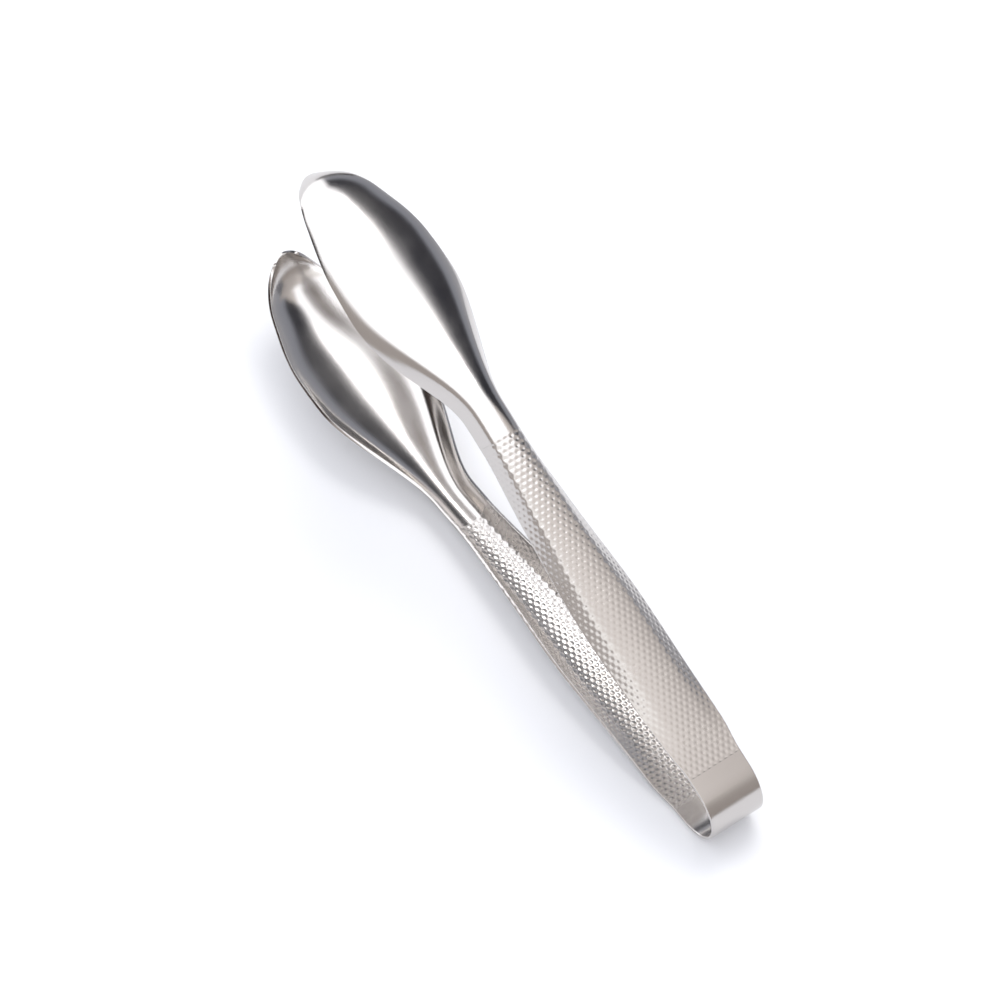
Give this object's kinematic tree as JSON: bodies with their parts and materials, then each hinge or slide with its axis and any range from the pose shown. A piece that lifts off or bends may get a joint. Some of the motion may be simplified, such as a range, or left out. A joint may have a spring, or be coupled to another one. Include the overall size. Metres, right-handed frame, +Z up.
{
  "type": "serving tongs",
  "caption": "One-piece stainless serving tongs: a strip folded at a spring bow, with dimpled grips and two facing spoon-shaped jaws for lifting salad or pastry.",
  "frame": {"origin": "bottom centre of the bounding box, on the table that the lower arm lies on", "axes": "+X along the length from the spring bow to the jaw tips, +Y across the strip, +Z up from the table through the upper arm"},
  "size_m": [0.236, 0.0372, 0.0978],
  "materials": {
    "polished_steel": "polished stainless steel with a fine mirror-like brush",
    "dimpled_steel": "polished stainless steel embossed with small staggered round dimples"
  },
  "bodies": {
    "lower_arm": {"lower_jaw": "polished_steel", "lower_grip": "dimpled_steel", "bow_lower_heel": "polished_steel", "bow_lower_bend": "polished_steel"},
    "upper_arm": {"bow_upper_bend": "polished_steel", "bow_upper_heel": "polished_steel", "upper_grip": "dimpled_steel", "upper_jaw": "polished_steel"}
  },
  "joints": [
    {"name": "bow_flex", "type": "hinge", "parent": "lower_arm", "child": "upper_arm", "pos_m": [-0.11368, 0, 0.01124], "axis": [0, 1, 0], "range_deg": [-2, 15.2], "stiffness_Nm_per_rad": 3}
  ]
}
